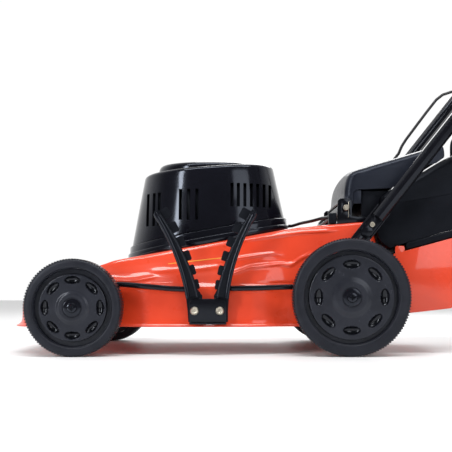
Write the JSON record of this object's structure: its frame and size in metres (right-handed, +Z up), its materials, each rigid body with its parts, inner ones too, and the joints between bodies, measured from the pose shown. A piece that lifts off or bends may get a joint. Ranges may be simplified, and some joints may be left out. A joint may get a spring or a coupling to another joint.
{
  "type": "lawn mower",
  "caption": "Electric rotary lawn mower with a pressed deck, height combs, hinged rear flap, grass collector and folding handle.",
  "frame": {"origin": "the middle of the mower's bounding box at floor level, under all four wheels", "axes": "+Z up, the front of the mower points to -X, its left side to -Y"},
  "size_m": [1.3362, 0.5126, 0.9966],
  "materials": {
    "orange_paint": "gloss",
    "black_paint": "satin",
    "black_gloss": "gloss",
    "black_matte": "matte",
    "wheel_plastic": "satin",
    "tyre": "satin",
    "zinc": "satin",
    "steel": "brushed",
    "foam": "matte",
    "cable": "satin",
    "red_button": "gloss",
    "cast_aluminium": "cast",
    "capacitor": "matte"
  },
  "bodies": {
    "chassis": {"deck": "orange_paint", "rear_shroud": "orange_paint", "discharge_chute": "black_matte", "motor_cover": "black_gloss", "cover_base_ring": "black_gloss", "cover_cap": "black_gloss", "air_guide": "black_matte", "motor_mount": "cast_aluminium", "motor_can": "steel", "motor_end_bell": "cast_aluminium", "motor_capacitor": "capacitor", "front_comb": "black_matte", "rear_comb": "black_matte", "comb_bracket": "black_paint", "front_comb_bolt": "zinc", "rear_comb_bolt": "zinc", "flap_bracket": "black_paint", "flap_hinge_rod": "zinc", "flap_spring": "zinc", "cable_clamp": "black_matte", "left_foot_plate": "black_paint", "right_foot_plate": "black_paint", "lower_left_tube": "black_paint", "lower_right_tube": "black_paint", "left_foot_bolt": "zinc", "right_foot_bolt": "zinc", "motor_lead": "cable", "handle_cable_lower": "cable"},
    "front_crank": {"front_axle": "black_paint", "front_left_hub_screw": "black_gloss", "front_right_hub_screw": "black_gloss"},
    "rear_crank": {"rear_axle": "black_paint", "rear_left_hub_screw": "black_gloss", "rear_right_hub_screw": "black_gloss"},
    "front_left_wheel": {"front_left_tyre": "tyre", "front_left_rim": "wheel_plastic"},
    "front_right_wheel": {"front_right_tyre": "tyre", "front_right_rim": "wheel_plastic"},
    "rear_left_wheel": {"rear_left_tyre": "tyre", "rear_left_rim": "wheel_plastic"},
    "rear_right_wheel": {"rear_right_tyre": "tyre", "rear_right_rim": "wheel_plastic"},
    "rotor": {"motor_shaft": "steel", "blade_hub": "cast_aluminium", "blade": "steel", "blade_bolt": "zinc", "cooling_fan": "black_matte"},
    "discharge_flap": {"flap": "black_matte"},
    "handlebar": {"upper_handle": "black_paint", "handle_grip": "foam", "switch_box": "black_matte", "plug_inlet": "black_matte", "handle_cable_upper": "cable"},
    "left_knob": {"left_clamp_knob": "black_matte"},
    "right_knob": {"right_clamp_knob": "black_matte"},
    "stop_bail": {"bail": "zinc"},
    "button": {"start_button": "red_button"},
    "grass_box": {"collector_body": "black_matte", "collector_lid": "black_matte", "collector_rail": "black_matte"}
  },
  "joints": [
    {"name": "front_height", "type": "hinge", "parent": "chassis", "child": "front_crank", "pos_m": [-0.59113, 0, 0.118], "axis": [0, -1, 0], "range_deg": [0, 33]},
    {"name": "rear_height", "type": "hinge", "parent": "chassis", "child": "rear_crank", "pos_m": [0.07387, 0, 0.138], "axis": [0, 1, 0], "range_deg": [0, 33]},
    {"name": "front_left_spin", "type": "hinge", "parent": "front_crank", "child": "front_left_wheel", "pos_m": [-0.52813, -0.2325, 0.095], "axis": [0, 1, 0], "continuous": true},
    {"name": "front_right_spin", "type": "hinge", "parent": "front_crank", "child": "front_right_wheel", "pos_m": [-0.52813, 0.2325, 0.095], "axis": [0, 1, 0], "continuous": true},
    {"name": "rear_left_spin", "type": "hinge", "parent": "rear_crank", "child": "rear_left_wheel", "pos_m": [0.01187, -0.2325, 0.115], "axis": [0, 1, 0], "continuous": true},
    {"name": "rear_right_spin", "type": "hinge", "parent": "rear_crank", "child": "rear_right_wheel", "pos_m": [0.01187, 0.2325, 0.115], "axis": [0, 1, 0], "continuous": true},
    {"name": "blade_spin", "type": "hinge", "parent": "chassis", "child": "rotor", "pos_m": [-0.27813, 0, 0.07], "axis": [0, 0, 1], "continuous": true},
    {"name": "flap_lift", "type": "hinge", "parent": "chassis", "child": "discharge_flap", "pos_m": [0.01287, 0, 0.298], "axis": [0, -1, 0], "range_deg": [0, 35], "stiffness_Nm_per_rad": 0.4, "springref_deg": -20.05},
    {"name": "handle_fold", "type": "hinge", "parent": "chassis", "child": "handlebar", "pos_m": [0.36426, 0, 0.64527], "axis": [0, -1, 0], "range_deg": [0, 145]},
    {"name": "left_knob_turn", "type": "hinge", "parent": "chassis", "child": "left_knob", "pos_m": [0.36426, -0.22, 0.64527], "axis": [0, -1, 0], "continuous": true},
    {"name": "right_knob_turn", "type": "hinge", "parent": "chassis", "child": "right_knob", "pos_m": [0.36426, 0.22, 0.64527], "axis": [0, 1, 0], "continuous": true},
    {"name": "bail_squeeze", "type": "hinge", "parent": "handlebar", "child": "stop_bail", "pos_m": [0.55639, 0, 0.88855], "axis": [0, -1, 0], "range_deg": [0, 16], "stiffness_Nm_per_rad": 0.5, "springref_deg": -11.46},
    {"name": "button_press", "type": "slide", "parent": "handlebar", "child": "button", "axis": [0.7848, 0, -0.6198], "range_m": [0, 0.004], "stiffness_N_per_m": 250, "springref_m": -0.002},
    {"name": "collector_lift", "type": "slide", "parent": "chassis", "child": "grass_box", "axis": [0.9511, 0, 0.309], "range_m": [0, 0.25]}
  ]
}
